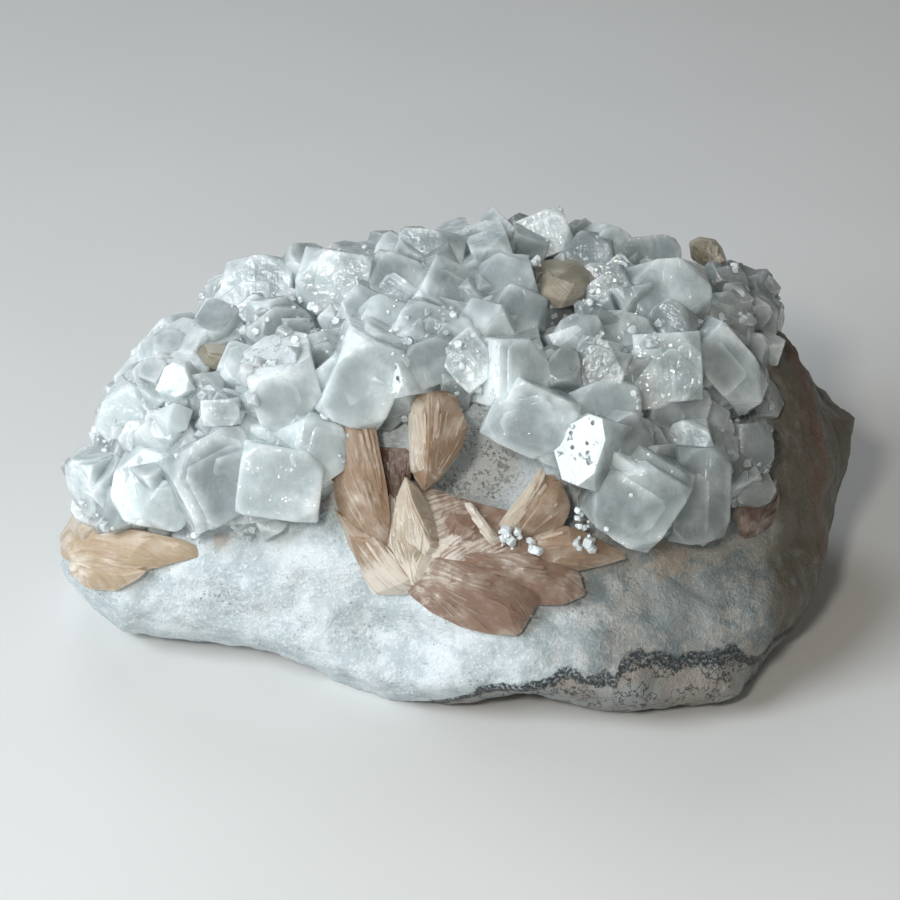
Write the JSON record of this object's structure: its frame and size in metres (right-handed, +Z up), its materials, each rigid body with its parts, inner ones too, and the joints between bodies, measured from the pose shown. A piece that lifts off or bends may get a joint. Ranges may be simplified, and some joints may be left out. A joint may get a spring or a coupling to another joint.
{
  "type": "apophyllite cluster",
  "caption": "Hand piece of intergrown colourless apophyllite blocks and peach stilbite sheaves on a rounded white matrix stone with a flat base.",
  "frame": {"origin": "on the flat base of the stone, under the middle of the piece", "axes": "+X along the length of the piece to the viewer's right, +Y to the back, away from the bare front of the stone, +Z up"},
  "size_m": [0.118, 0.0778, 0.0597],
  "materials": {
    "matrix": "matte, granular, white with dark specks",
    "apophyllite": "vitreous, translucent, faintly blue white",
    "stilbite": "pearly, finely grooved, peach to cream"
  },
  "bodies": {
    "root": {"matrix_stone": "matrix", "apophyllite_crust": "apophyllite", "stilbite_sheaf": "stilbite", "stilbite_upright": "stilbite", "stilbite_left": "stilbite", "stilbite_right": "stilbite", "stilbite_crest": "stilbite", "stilbite_summit": "stilbite", "stilbite_bud": "stilbite"}
  },
  "joints": []
}
